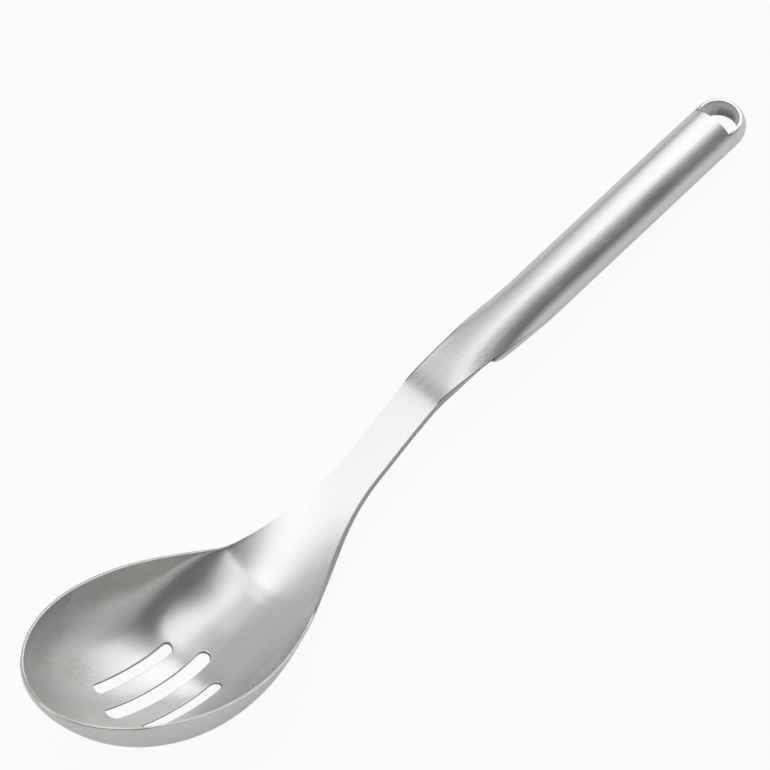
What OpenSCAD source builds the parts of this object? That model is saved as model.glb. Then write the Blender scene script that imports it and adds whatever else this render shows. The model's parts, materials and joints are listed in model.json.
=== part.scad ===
// Slotted serving spoon with a hollow handle and a hanging loop, all of stainless steel.
// It is laid out first along its handle: x runs from the bowl's tip to the end of the
// loop, z = 0 is the middle of the handle's depth, and the left and right sides mirror
// each other. It is then pitched so that it rests on the back of its bowl and on the end
// of its handle, with z = 0 on the table and x = 0 half way along.

/* [Whole spoon] */
// Length from the bowl's tip to the end of the hanging loop
spoon_length = 343; // [320:1:360]
// Thickness of the sheet in the bowl and the handle
sheet = 1; // [0.8:0.1:1.5]

/* [Bowl] */
// Width of the bowl at its rim
bowl_width = 66; // [60:0.5:76]
// Depth of the bowl below its rim
bowl_depth = 29; // [20:0.5:32]
// Distance from the tip to the widest point of the rim
bowl_nose = 51.5; // [45:0.5:56]
// Distance from the tip to the deepest point, measured along the handle
deep_x = 62; // [57:0.5:68]
// Angle at which the rim climbs towards the tip
rim_angle = 28.5; // [20:0.5:32]
// How far the rim flattens off at the tip
rim_droop = 2.7; // [0:0.1:4]

/* [Neck] */
// Width of the neck at its narrowest
neck_width = 13.5; // [11:0.1:16]
// Thickness of the neck
neck_thickness = 3.5; // [2.5:0.1:4]
// Angle at which the neck drops from the handle to the bowl
neck_angle = 22.5; // [16:0.5:26]
// Length of the neck along the handle's line
neck_run = 76.8; // [70:0.1:84]

/* [Handle] */
// Length from the bend at the neck to the end of the loop
handle_length = 161.5; // [150:0.5:175]
// Width of the oval handle
handle_width = 19.2; // [17:0.1:22]
// Depth of the oval handle from top to underside
handle_depth = 15.5; // [14:0.5:18]
// Length over which the underside of the handle closes down from the neck
nose_run = 9.5; // [8:0.5:24]

/* [Hanging loop] */
// Distance from the end of the handle's shells to the end of the loop
loop_reach = 13; // [12:0.5:16]
// Height of the loop's band
loop_height = 8.8; // [7:0.2:10]
// Thickness of the plate that closes the handle behind the loop
plug_thickness = 2; // [1.5:0.5:3]

/* [Slots] */
// Width of the middle slot
middle_width = 5.1; // [4.1:0.1:6]
// Width of the two outer slots
outer_width = 3.8; // [3:0.1:6]
// Length of the middle slot
middle_slot = 51.5; // [44:0.5:58]
// Length of the two outer slots
outer_slot = 39.5; // [32:0.5:45]
// Distance between the middle lines of neighbouring slots
slot_pitch = 10.9; // [9:0.1:12]
// Distance along the rim from the tip to the middle of the slots
slot_middle = 69.3; // [66:0.1:74]

/* [Hidden] */
steel = [0.74, 0.74, 0.73];
dark_steel = [0.62, 0.62, 0.61];
gap = 0.02;
$fn = 64;

bowl_half = bowl_width / 2;
neck_half = neck_width / 2;
handle_half = handle_width / 2;
handle_top = handle_depth / 2;

// Places along x where the shape changes: the heel between bowl and neck, the bend between
// neck and handle, and the start of the full oval
bend_x = spoon_length - handle_length;
heel_x = bend_x - neck_run;
flare_start_x = bend_x - 17;
flare_end_x = bend_x + 50;
roll_start_x = bend_x - 3;
nose_x = bend_x + 25.5;
tube_start_x = bend_x + 55;
shell_end_x = spoon_length - loop_reach;
loop_centre_x = spoon_length - handle_half;

// The side view: the rim's line and the neck's line meet in a rounded valley at the heel
heel_z = handle_top - neck_run * tan(neck_angle);
heel_round = 2.1;
bend_round = 0.8;
droop_run = 43;

function higher(a, b, round) = (a + b) / 2 + sqrt(pow((a - b) / 2, 2) + round * round);
function lower(a, b, round) = (a + b) / 2 - sqrt(pow((a - b) / 2, 2) + round * round);
function ramp(t) = 0.5 - 0.5 * cos(180 * min(1, max(0, t)));
function between(x, x0, x1) = (x - x0) / (x1 - x0);

function neck_line(x) = handle_top - (bend_x - x) * tan(neck_angle);
function rim_line(x) = heel_z + (heel_x - x) * tan(rim_angle);
function droop(x) = rim_droop * pow(max(0, 1 - x / droop_run), 2);
function top_z(x) =
    higher(lower(neck_line(x), handle_top, bend_round), rim_line(x), heel_round) - droop(x);

// The top view: an elliptical front, a shoulder that narrows to the neck, and a flare
shoulder_run = 98.3;
shoulder_power = 1.09;
function shoulder(x) = 1 - ramp(pow(max(0, x - bowl_nose) / shoulder_run, shoulder_power));
function flare(x) = ramp(between(x, flare_start_x, flare_end_x));
function nose_width(x) = bowl_half * sqrt(1 - pow(1 - x / bowl_nose, 2));
function half_width(x) = x < bowl_nose ? nose_width(x)
    : neck_half + (bowl_half - neck_half) * shoulder(x) + (handle_half - neck_half) * flare(x);

// The flat strip rolls into the upper half of an oval: its edges turn down by this angle
function roll(x) = 90 * min(1, max(0, between(x, roll_start_x, tube_start_x)));
function edge_drop(x, q) = handle_top * (1 - sqrt(1 - pow(q * sin(roll(x)), 2)));

// The hollow of the bowl fades out behind the slots. Its walls are steeper at the sides, where
// side is 1, than at the tip, where side is 0; r is 0 at the deepest point and 1 at the rim
hollow_end_x = heel_x - 18;
hollow_fade = 5;
tip_steepness = 1.32;
side_steepness = 2.34;
function hollow(x) = 1 / (1 + exp((x - hollow_end_x) / hollow_fade));
function dish(r, side) =
    pow(max(0, 1 - r * r), 1 / (tip_steepness + (side_steepness - tip_steepness) * side));

// A shallow trough carries the hollow on through the heel and up between the shoulders
trough_depth = 4.4;
trough_start_x = heel_x - 24.5;
trough_full_x = heel_x - 4.4;
trough_end_x = heel_x + 48.4;
trough_run = 50;
trough_power = 3.27;
function trough(x) = trough_depth * ramp(between(x, trough_start_x, trough_full_x))
    * pow(max(0, trough_end_x - x) / trough_run, trough_power);

// Depth is measured square to the rim in the bowl, and straight down along the handle
upright_run = 37;
function lean(x) = rim_angle * ramp((heel_x - x) / upright_run);
function sink(x, y, z, depth) =
    [x - depth * sin(lean(x)), y, z - depth * cos(lean(x))];

// Sheet thickness: thick through the neck, thin in the bowl and round the handle
thicken_x = heel_x - 2;
thick_x = heel_x + 22;
thin_x = bend_x + 5;
sheet_x = tube_start_x - 5;
function thickness(x) = sheet + (neck_thickness - sheet)
    * ramp(between(x, thicken_x, thick_x)) * (1 - ramp(between(x, thin_x, sheet_x)));

// Columns run across the spoon from one edge to the other, closer together at the edges
columns = 24;
across = [for (j = [0 : columns]) sin(-90 + 180 * j / columns)];

// Rows run along the spoon: the front of the bowl, then stations up to the end of the shells.
// The stations crowd round the heel and the bend, and spread where the neck hardly changes
front_rows = 9;
front = [for (i = [front_rows : -1 : 1]) sin(90 * i / front_rows)];
heel_reach = 8;
bend_reach = 4;
slim_x = heel_x + 42;
fine_step = 2;
plain_step = 4.2;
wide_step = 8;
function spaced(start, end, step) = [for (x = [start : step : end]) x];
stations = concat(
    spaced(deep_x, heel_x - heel_reach - fine_step, plain_step),
    spaced(heel_x - heel_reach, heel_x + heel_reach, fine_step),
    spaced(heel_x + heel_reach + plain_step, slim_x, plain_step),
    spaced(slim_x + plain_step, bend_x - wide_step, wide_step),
    spaced(bend_x - bend_reach, bend_x + bend_reach, fine_step),
    spaced(bend_x + bend_reach + plain_step, tube_start_x, plain_step),
    [shell_end_x]);

// A square grid bent to fill half an ellipse, so that the rim has no sharp point
function front_point(p, q) =
    let (dx = p * sqrt(1 - q * q / 2), dy = q * sqrt(1 - p * p / 2))
    let (x = deep_x * (1 - dx), y = q == 0 ? 0 : half_width(x) * dy / sqrt(1 - dx * dx))
    let (r = norm([dx, dy]))
    sink(x, y, top_z(x), bowl_depth * hollow(x) * dish(r, pow(dy / r, 2)));

function station_point(x, q) =
    let (depth = bowl_depth * hollow(x) * dish(abs(q), 1) + trough(x) * (1 - q * q))
    sink(x, half_width(x) * q, top_z(x) - edge_drop(x, q), depth);

upper = concat(
    [for (p = front) [for (q = across) front_point(p, q)]],
    [for (x = stations) [for (q = across) station_point(x, q)]]);
row_x = concat([for (p = front) deep_x * (1 - p)], stations);

// The other face of the sheet lies one thickness away, square to the first
function unit(v) = v / norm(v);
function slope_along(grid, i, j) = grid[min(i + 1, len(grid) - 1)][j] - grid[max(i - 1, 0)][j];
function slope_across(grid, i, j) = grid[i][min(j + 1, columns)] - grid[i][max(j - 1, 0)];
function facing(grid, i, j) = unit(cross(slope_along(grid, i, j), slope_across(grid, i, j)));
lower_face = [for (i = [0 : len(upper) - 1]) [for (j = [0 : columns])
    upper[i][j] - thickness(row_x[i]) * facing(upper, i, j)]];

// A closed solid between two grids of points of the same size
module sheet_between(top, under) {
    rows = len(top);
    cols = len(top[0]);
    size = rows * cols;
    function at(i, j) = i * cols + j;
    edge = concat(
        [for (j = [0 : cols - 2]) at(0, j)],
        [for (i = [0 : rows - 2]) at(i, cols - 1)],
        [for (j = [cols - 1 : -1 : 1]) at(rows - 1, j)],
        [for (i = [rows - 1 : -1 : 1]) at(i, 0)]);
    faces = concat(
        [for (i = [0 : rows - 2]) for (j = [0 : cols - 2]) for (f = [
            [at(i, j), at(i, j + 1), at(i + 1, j + 1)],
            [at(i, j), at(i + 1, j + 1), at(i + 1, j)]]) f],
        [for (i = [0 : rows - 2]) for (j = [0 : cols - 2]) for (f = [
            [size + at(i + 1, j + 1), size + at(i, j + 1), size + at(i, j)],
            [size + at(i + 1, j), size + at(i + 1, j + 1), size + at(i, j)]]) f],
        [for (k = [0 : len(edge) - 1]) let (a = edge[k], b = edge[(k + 1) % len(edge)]) for (f = [
            [b, a, size + a],
            [b, size + a, size + b]]) f]);
    points = concat([for (row = top) each row], [for (row = under) each row]);
    polyhedron(points, faces, convexity = 10);
}

// The underside of the handle: an oval half shell whose front end closes up to the neck
function seam_z(x) = top_z(x) - edge_drop(x, 1) - thickness(x) * cos(roll(x));
function nose(x) = sqrt(1 - pow(1 - min(1, max(0, (x - nose_x) / nose_run)), 2));
nose_rows = 8;
back_columns = 20;
back_stations = concat(
    [for (i = [1 : nose_rows]) nose_x + nose_run * (1 - cos(90 * i / nose_rows))],
    [tube_start_x, shell_end_x]);
function back_point(x, a, inset) =
    let (fall = (seam_z(x) + handle_top) * nose(x) - inset)
    [x, (half_width(x) - inset) * cos(a), seam_z(x) - fall * sin(a)];
function back_grid(inset) = [for (x = back_stations)
    [for (j = [0 : back_columns]) back_point(x, 180 * j / back_columns, inset)]];

// Resting pose: a straight line under the handle's end touches the back of the bowl, beside the
// middle slot or behind it
middle_column = columns / 2;
slot_rear = slot_middle + middle_slot / 2;
function along_rim(p) = p[0] * cos(rim_angle) - (p[2] - top_z(0)) * sin(rim_angle);
function slot_side(a, b) = a + (b - a) * middle_width / 2 / b[1];
function lowest(row) = along_rim(row[middle_column]) > slot_rear ? row[middle_column]
    : slot_side(row[middle_column], row[middle_column + 1]);
rest_heel = [shell_end_x, -handle_top];
rest_pitch = max([for (row = lower_face) let (p = lowest(row))
    atan2(rest_heel[1] - p[2], rest_heel[0] - p[0])]);
function rest_x(x, z) = x * cos(rest_pitch) + z * sin(rest_pitch);
function rest_z(x, z) = z * cos(rest_pitch) - x * sin(rest_pitch);
rest_floor = rest_z(rest_heel[0], rest_heel[1]);
rest_tip = min([for (q = lower_face[0]) rest_x(q[0], q[2])]);
rest_end = rest_x(spoon_length, 0);

module at_rest() {
    translate([-(rest_tip + rest_end) / 2, 0, -rest_floor]) rotate([0, rest_pitch, 0]) children();
}

// A slot's outline, drawn lying along x
module slot_outline(length, width) {
    straight = length - width;
    square([straight, width], center = true);
    for (side = [-1, 1]) translate([side * straight / 2, 0]) circle(d = width);
}

// The three slots, cut square to the rim from a little below it to well below the bowl
module slot_cutters() {
    below_rim = 8;
    cut_depth = bowl_depth;
    translate([0, 0, top_z(0)]) rotate([0, rim_angle, 0])
        translate([slot_middle, 0, -below_rim - cut_depth])
            linear_extrude(cut_depth) {
                slot_outline(middle_slot, middle_width);
                for (side = [-1, 1]) translate([0, side * slot_pitch])
                    slot_outline(outer_slot, outer_width);
            }
}

// The bowl, the neck and the upper skin of the handle, pressed from one blank
module spoon_pressing() {
    color(steel) at_rest() difference() {
        sheet_between(upper, lower_face);
        slot_cutters();
    }
}

// The lower skin of the handle, welded to the pressing along both edges
module handle_back() {
    color(dark_steel) at_rest() sheet_between(back_grid(0), back_grid(sheet));
}

// Cross-section of the loop's band, standing upright at its distance from the loop's middle
function oval_half(z) = handle_half * sqrt(1 - pow(z / handle_top, 2));
band_steps = 12;
module band_section() {
    heights = [for (i = [0 : band_steps]) loop_height * (i / band_steps - 0.5)];
    polygon(concat(
        [for (z = heights) [oval_half(z), z]],
        [for (i = [band_steps : -1 : 0]) [oval_half(heights[i]) - sheet, heights[i]]]));
}

// The hanging loop: a band bent to a half circle, with two straight legs to the handle
module hang_loop() {
    leg = loop_centre_x - shell_end_x - gap;
    color(steel) at_rest() translate([loop_centre_x, 0, 0]) {
        rotate([0, 0, -90]) rotate_extrude(angle = 180) band_section();
        for (side = [0, 1]) mirror([0, side, 0])
            rotate([90, 0, -90]) linear_extrude(leg) mirror([1, 0, 0]) band_section();
    }
}

// The oval plate that closes the hollow handle, set a little back from the shells' ends
plug_setback = 1;
plug_sides = 48;
module end_plug() {
    inset = sheet + gap;
    outline = [for (k = [0 : plug_sides - 1]) let (a = 360 * k / plug_sides)
        [(handle_top - inset) * cos(a), (handle_half - inset) * sin(a)]];
    color(dark_steel) at_rest() translate([shell_end_x - plug_setback, 0, 0])
        rotate([0, -90, 0]) linear_extrude(plug_thickness) polygon(outline);
}

spoon_pressing();
handle_back();
hang_loop();
end_plug();
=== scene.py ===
# %% [markdown]
# # A slotted serving spoon in brushed steel
# The spoon is a deep pear-shaped bowl with three slots, a flat neck that climbs away from it,
# and a hollow oval handle that ends in a hanging loop. This lesson builds it in Blender from
# the sizes of its solid model: first the shape's rules and the camera, then the pressed sheet,
# the finish, the other pieces of metal, and last the floor and the light. The solid model comes
# in as a frame, and each visible piece replaces one of its solids and rides on its body.

# %% Load the frame
import json
import math

import bpy
import numpy as np
from mathutils import Matrix, Vector
from mathutils.geometry import delaunay_2d_cdt

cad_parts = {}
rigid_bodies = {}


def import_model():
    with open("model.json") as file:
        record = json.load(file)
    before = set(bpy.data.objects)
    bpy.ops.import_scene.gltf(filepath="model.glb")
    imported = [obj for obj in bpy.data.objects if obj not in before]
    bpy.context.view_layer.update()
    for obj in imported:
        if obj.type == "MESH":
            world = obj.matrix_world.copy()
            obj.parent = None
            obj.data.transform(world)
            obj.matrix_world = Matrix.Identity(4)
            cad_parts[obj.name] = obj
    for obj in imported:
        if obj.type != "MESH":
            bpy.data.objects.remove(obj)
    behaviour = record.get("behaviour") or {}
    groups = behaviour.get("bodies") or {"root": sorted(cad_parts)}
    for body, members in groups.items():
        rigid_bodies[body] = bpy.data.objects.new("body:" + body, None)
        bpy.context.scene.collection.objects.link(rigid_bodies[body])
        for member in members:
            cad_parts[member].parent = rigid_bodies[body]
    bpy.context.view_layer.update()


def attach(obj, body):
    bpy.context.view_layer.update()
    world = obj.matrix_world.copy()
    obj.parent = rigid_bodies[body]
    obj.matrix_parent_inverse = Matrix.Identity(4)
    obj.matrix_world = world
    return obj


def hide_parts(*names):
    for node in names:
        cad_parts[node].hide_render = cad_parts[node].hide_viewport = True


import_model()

# %% [markdown]
# ## The spoon's sizes
# A maker would draw the spoon along its handle: x runs from the bowl's tip to the end of the
# loop, y across, and z = 0 is the middle of the handle's depth. All sizes are in millimetres
# until the last step, which pitches the drawing into its resting pose and turns it to metres.

# %% Sizes that drive the shape
spoon_length = 343.0
sheet = 0.95
bowl_width = 66.0
bowl_depth = 29.0
bowl_nose = 51.5
deep_x = 62.0
rim_angle = math.radians(28.5)
rim_droop = 2.7
neck_width = 13.5
neck_thickness = 3.5
neck_angle = math.radians(22.5)
neck_run = 76.8
handle_length = 161.5
handle_width = 19.2
handle_depth = 15.5
nose_run = 9.5
loop_reach = 13.0
loop_height = 8.8
middle_width = 5.1
outer_width = 3.8
middle_slot = 51.5
outer_slot = 39.5
slot_pitch = 10.9
slot_middle = 69.3

# %% [markdown]
# Everything else is measured from a few marks along the spoon: the heel, where the bowl ends and
# the neck begins, the bend, where the neck meets the handle, and the nose, where the handle's
# lower skin begins. They are worked out from the sizes above, so that a longer handle or a
# shorter neck moves all that hangs on it.

# %% Marks and roundings that follow from them
bowl_half = bowl_width / 2
neck_half = neck_width / 2
handle_half = handle_width / 2
handle_top = handle_depth / 2
bend_x = spoon_length - handle_length
heel_x = bend_x - neck_run
flare_start_x = bend_x - 17
flare_end_x = bend_x + 50
roll_start_x = bend_x - 3
nose_x = bend_x + 25.5
tube_start_x = bend_x + 55
shell_end_x = spoon_length - loop_reach
loop_centre_x = spoon_length - handle_half
heel_z = handle_top - neck_run * math.tan(neck_angle)
heel_round = 2.1
bend_round = 0.8
droop_run = 43.0
shoulder_run = 98.3
shoulder_power = 1.09
hollow_end_x = heel_x - 18
hollow_fade = 5.0
trough_depth = 4.4
trough_start_x = heel_x - 24.5
trough_full_x = heel_x - 4.4
trough_end_x = heel_x + 48.4
trough_run = 50.0
trough_power = 3.27
tip_steepness = 1.32
side_steepness = 2.34
upright_run = 37.0
thicken_x = heel_x - 2
thick_x = heel_x + 22
thin_x = bend_x + 5
sheet_x = tube_start_x - 5
print("heel at", round(heel_x, 1), "bend at", round(bend_x, 1), "shells end at", shell_end_x)

# %% [markdown]
# ## The rules of the shape
# Each outline is a short rule instead of a list of points. The side view joins two straight
# lines in a rounded valley at the heel. The top view is an ellipse that narrows to the neck and
# flares to the handle. `ramp` is the soft step that all of them use: it leaves 0 and arrives
# at 1 without a kink, so polished steel shows no line where two rules meet.

# %% Side view and top view
def ramp(t):
    return 0.5 - 0.5 * np.cos(np.pi * np.clip(t, 0, 1))


def between(x, x0, x1):
    return (x - x0) / (x1 - x0)


def higher(a, b, rounding):
    return (a + b) / 2 + np.sqrt(((a - b) / 2) ** 2 + rounding ** 2)


def lower(a, b, rounding):
    return (a + b) / 2 - np.sqrt(((a - b) / 2) ** 2 + rounding ** 2)


def top_z(x):
    neck_line = handle_top - (bend_x - x) * math.tan(neck_angle)
    rim_line = heel_z + (heel_x - x) * math.tan(rim_angle)
    droop = rim_droop * np.maximum(0, 1 - x / droop_run) ** 2
    return higher(lower(neck_line, handle_top, bend_round), rim_line, heel_round) - droop


def half_width(x):
    nose = bowl_half * np.sqrt(np.maximum(0, 1 - (1 - x / bowl_nose) ** 2))
    shoulder = 1 - ramp((np.maximum(0, x - bowl_nose) / shoulder_run) ** shoulder_power)
    flare = ramp(between(x, flare_start_x, flare_end_x))
    rear = neck_half + (bowl_half - neck_half) * shoulder + (handle_half - neck_half) * flare
    return np.where(x < bowl_nose, nose, rear)


print("rim height at the tip:", round(float(top_z(0.0)), 2))

# %% [markdown]
# The bowl's hollow ends behind the heel in a shallow trough. Past the bend the strip rolls its
# edges down, until it is the upper half of the oval handle. `roll` is the angle that the edge
# has turned through: 0 on the neck and a quarter turn on the handle. The metal is thickest in
# the neck, which carries the load, and thins to plain sheet at both ends.

# %% Hollow, roll and thickness
largest_power = 60


def hollow(x):
    return 1 / (1 + np.exp(np.minimum(largest_power, (x - hollow_end_x) / hollow_fade)))


def trough(x):
    fall = (np.maximum(0, trough_end_x - x) / trough_run) ** trough_power
    return trough_depth * ramp(between(x, trough_start_x, trough_full_x)) * fall


def dish(r_squared, side):
    steepness = tip_steepness + (side_steepness - tip_steepness) * side
    return np.maximum(0, 1 - r_squared) ** (1 / steepness)


def lean(x):
    return rim_angle * ramp((heel_x - x) / upright_run)


def roll(x):
    return math.pi / 2 * np.clip(between(x, roll_start_x, tube_start_x), 0, 1)


def edge_drop(x, q):
    return handle_top * (1 - np.sqrt(np.maximum(0, 1 - (q * np.sin(roll(x))) ** 2)))


def thickness(x):
    swell = ramp(between(x, thicken_x, thick_x)) * (1 - ramp(between(x, thin_x, sheet_x)))
    return sheet + (neck_thickness - sheet) * swell


print("metal in mm at the heel, the thick mark and the bend:",
      np.round(thickness(np.array([heel_x, thick_x, bend_x])), 2))

# %% [markdown]
# ## The upper face of the metal
# A real spoon's bowl, neck and handle top are one skin, so one function gives the upper face
# for all of them. A sculpted mesh would also do, but a rule can't leave dents that polished
# steel would show. q is 0 on the middle line and 1 at the edge. In front of the deepest point
# the bowl is half a disc, so its depth follows the distance from that point in both directions.

# %% Upper face from place along and share across
def face_point(x, q):
    dx = np.clip(1 - x / deep_x, 0, 1)
    dy = q * np.sqrt(1 - dx * dx)
    r_squared = dx * dx + dy * dy
    side = dy * dy / np.maximum(r_squared, 1e-9)
    depth = bowl_depth * hollow(x) * dish(r_squared, side) + trough(x) * (1 - q * q)
    z = top_z(x) - edge_drop(x, q) - depth * np.cos(lean(x))
    return np.stack([x - depth * np.sin(lean(x)), half_width(x) * q, z], axis=-1)


def unit(v):
    return v / np.linalg.norm(v, axis=-1, keepdims=True)


def face_and_normal(x, y):
    step = 0.05
    def at(a, b):
        return face_point(a, b / half_width(a))
    along = at(x + step, y) - at(x - step, y)
    across = at(x, y + step) - at(x, y - step)
    return at(x, y), unit(np.cross(along, across))


print("bottom of the bowl in mm:", np.round(face_point(np.array(deep_x), 0.0), 2))

# %% [markdown]
# ## The resting pose
# The spoon lies on the back of its bowl and on the end of its handle. The solid model finds the
# line that touches both, and the same turn and move are used here. They are applied to the
# points and not to the objects, because a piece of the frame keeps its object at the origin.

# %% Pitch, shift and lift into the resting pose
rest_pitch = math.radians(5.5436)
rest_shift = -171.656
rest_lift = 39.593


def at_rest(points):
    points = np.asarray(points, dtype=float)
    x = points[..., 0] * math.cos(rest_pitch) + points[..., 2] * math.sin(rest_pitch) + rest_shift
    z = points[..., 2] * math.cos(rest_pitch) - points[..., 0] * math.sin(rest_pitch) + rest_lift
    return np.stack([x, points[..., 1], z], axis=-1) / 1000


def turned(directions):
    return (at_rest(directions) - at_rest(np.zeros(3))) * 1000


print("tip of the rim at rest, in m:", np.round(at_rest([0.0, 0.0, float(top_z(0.0))]), 4))

# %% [markdown]
# ## The camera
# The picture looks down on the spoon from the bowl's side with a long lens, from over two
# metres away, as product pictures are taken: from there the far end looks hardly smaller than
# the near one. Its turn is built from three directions, to the right, up and towards the
# camera, because that is easier to check than three angles.

# %% Camera
view_azimuth = math.radians(48.0)
view_elevation = math.radians(57.5)
view_tilt = math.radians(5.2106)
view_distance = 2.2
view_target = Vector((0.02471, 0.03610, -0.03187))
focal_pixels = 6379.73
picture_size = 770

camera_data = bpy.data.cameras.new("camera")
camera_data.sensor_width = 36.0
camera_data.lens = focal_pixels * camera_data.sensor_width / picture_size
camera = bpy.data.objects.new("camera", camera_data)
bpy.context.scene.collection.objects.link(camera)
bpy.context.scene.camera = camera
across_view = Vector((math.cos(view_azimuth), -math.sin(view_azimuth), 0))
toward_camera = Vector((
    -math.sin(view_azimuth) * math.cos(view_elevation),
    -math.cos(view_azimuth) * math.cos(view_elevation),
    math.sin(view_elevation)))
up_view = toward_camera.cross(across_view)
turn = Matrix((across_view, up_view, toward_camera)).transposed()
turn = Matrix.Rotation(view_tilt, 3, "Y") @ turn
camera.matrix_world = Matrix.Translation(view_target + view_distance * turn.col[2]) @ turn.to_4x4()
camera_data.clip_start = 0.1
camera_data.clip_end = 20.0
print("camera at", [round(v, 3) for v in camera.matrix_world.translation])

# %% [markdown]
# ## The grid of the pressing
# The skin is drawn on a grid of rows and columns. Columns crowd towards the edges, where the
# bowl's wall stands up, and rows crowd round the heel and the bend, where the side view turns.
# In front of the deepest point the square grid is bent to half a disc, which keeps the tip of
# the rim free of a sharp point.

# %% Rows and columns
columns = 96
front_rows = 46
fine_step = 0.8
plain_step = 1.6
wide_step = 2.4
bend_step = 0.6
heel_reach = 12.0
neck_reach = 40.0
bend_reach = 6.0
tube_rows = 12
across = np.sin(np.linspace(-np.pi / 2, np.pi / 2, columns + 1))
front = np.sin(np.pi / 2 * np.arange(front_rows, 0, -1) / front_rows)


def spaced(start, end, step):
    return np.arange(start, end - step / 2, step)


stations = np.concatenate([
    spaced(deep_x, heel_x - heel_reach, plain_step),
    spaced(heel_x - heel_reach, heel_x + heel_reach, fine_step),
    spaced(heel_x + heel_reach, heel_x + neck_reach, plain_step),
    spaced(heel_x + neck_reach, bend_x - bend_reach, wide_step),
    spaced(bend_x - bend_reach, bend_x + bend_reach, bend_step),
    spaced(bend_x + bend_reach, tube_start_x, plain_step),
    np.linspace(tube_start_x, shell_end_x, tube_rows)])

disc_x = front[:, None] * np.sqrt(1 - across[None, :] ** 2 / 2)
disc_y = across[None, :] * np.sqrt(1 - front[:, None] ** 2 / 2)
front_share = disc_y / np.sqrt(np.maximum(1e-12, 1 - disc_x ** 2))
grid_x = np.concatenate([deep_x * (1 - disc_x), np.repeat(stations[:, None], columns + 1, axis=1)])
rear_share = np.repeat(across[None, :], len(stations), axis=0)
grid_q = np.concatenate([np.clip(front_share, -1, 1), rear_share])
upper_grid = face_point(grid_x, grid_q)
print("pressing's grid:", upper_grid.shape)

# %% [markdown]
# A real sheet has a back. It is the upper face moved in by the metal's thickness, against the
# normals of the grid. Solidify would do the same, but here the slots' walls have to be square to
# the rim and not to the skin. Near the tip the rows lie close together, so the slopes for this
# move are taken over more of them, which keeps the back smooth.

# %% Normals of the grid and the lower face
front_reach = 5
rear_reach = 2
column_reach = 4
rows = len(upper_grid)
along = np.gradient(upper_grid, axis=0, edge_order=2)
sideways = np.gradient(upper_grid, axis=1, edge_order=2)
grid_normal = unit(np.cross(along, sideways))


def wide_slope(grid, axis, reach):
    place = np.arange(grid.shape[axis])
    ahead = np.take(grid, np.minimum(place + reach, len(place) - 1), axis=axis)
    behind = np.take(grid, np.maximum(place - reach, 0), axis=axis)
    return ahead - behind


row_reach = np.where(np.arange(rows) < front_rows, front_reach, rear_reach)
sheet_normal = unit(np.cross(
    wide_slope(upper_grid, 0, row_reach), wide_slope(upper_grid, 1, column_reach)))
row_x = np.concatenate([deep_x * (1 - front), stations])
lower_grid = upper_grid - thickness(row_x)[:, None, None] * sheet_normal
print("lowest point of the back in mm:", round(float(lower_grid[..., 2].min()), 2))

# %% [markdown]
# ## The slots
# A press cuts the three slots square to the rim, so that water drains from the middle of the
# bowl. A Boolean modifier could cut them too, but it leaves slivers that spoil the reflections.
# Here each outline, straight sides with round ends in the plane of the rim, is made part of the
# mesh itself.

# %% A slot's outline in the plane of the rim
outline_step = 0.9
arc_points = 13


def slot_outline(length, width, centre, grow):
    radius = width / 2 + grow
    reach = (length - width) / 2
    straight = np.linspace(-reach, reach, int(length / outline_step))
    arc = np.linspace(-np.pi / 2, np.pi / 2, arc_points)[1:-1]
    s = np.concatenate([
        straight, reach + radius * np.cos(arc), straight[::-1], -reach - radius * np.cos(arc)])
    y = np.concatenate([
        np.full(len(straight), -radius), radius * np.sin(arc),
        np.full(len(straight), radius), -radius * np.sin(arc)])
    return slot_middle + s[::-1], centre + y[::-1]


def rim_distance(points):
    height = points[..., 2] - float(top_z(0.0))
    return points[..., 0] * math.cos(rim_angle) - height * math.sin(rim_angle)


print("points round the middle slot:", len(slot_outline(middle_slot, middle_width, 0.0, 0.0)[0]))

# %% [markdown]
# The press carries each outline straight down through the sheet. No formula tells where that
# line meets the curved face, so Newton's method looks for the place: it steps along the face
# until the point lies on the line. `depth_share` is 0 for the upper face and 1 for the lower.

# %% Carry an outline to a face
newton_steps = 14


def carried(s, y, depth_share):
    def reach(a, b):
        point, normal = face_and_normal(a, b)
        return point - depth_share * thickness(a)[..., None] * normal, normal
    a = s * math.cos(rim_angle)
    b = y.copy()
    step = 0.01
    for _ in range(newton_steps):
        here, _n = reach(a, b)
        ahead, _n = reach(a + step, b)
        beside, _n = reach(a, b + step)
        s_here = rim_distance(here)
        s_a = (rim_distance(ahead) - s_here) / step
        s_b = (rim_distance(beside) - s_here) / step
        y_a = (ahead[..., 1] - here[..., 1]) / step
        y_b = (beside[..., 1] - here[..., 1]) / step
        miss_s = s - s_here
        miss_y = y - here[..., 1]
        scale = s_a * y_b - s_b * y_a
        a = a + (miss_s * y_b - miss_y * s_b) / scale
        b = b + (miss_y * s_a - miss_s * y_a) / scale
    point, normal = reach(a, b)
    return a, b, point, normal


middle_reach = carried(*slot_outline(middle_slot, middle_width, 0.0, 0.0), 0.0)[0]
print("middle slot on the face: x from", round(float(middle_reach.min()), 1),
      "to", round(float(middle_reach.max()), 1))

# %% [markdown]
# The hole has to be cut in the grid, so each point of an outline needs its place there, as a
# row and a column with fractions. This is the bend of the square grid to half a disc, undone.

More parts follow.
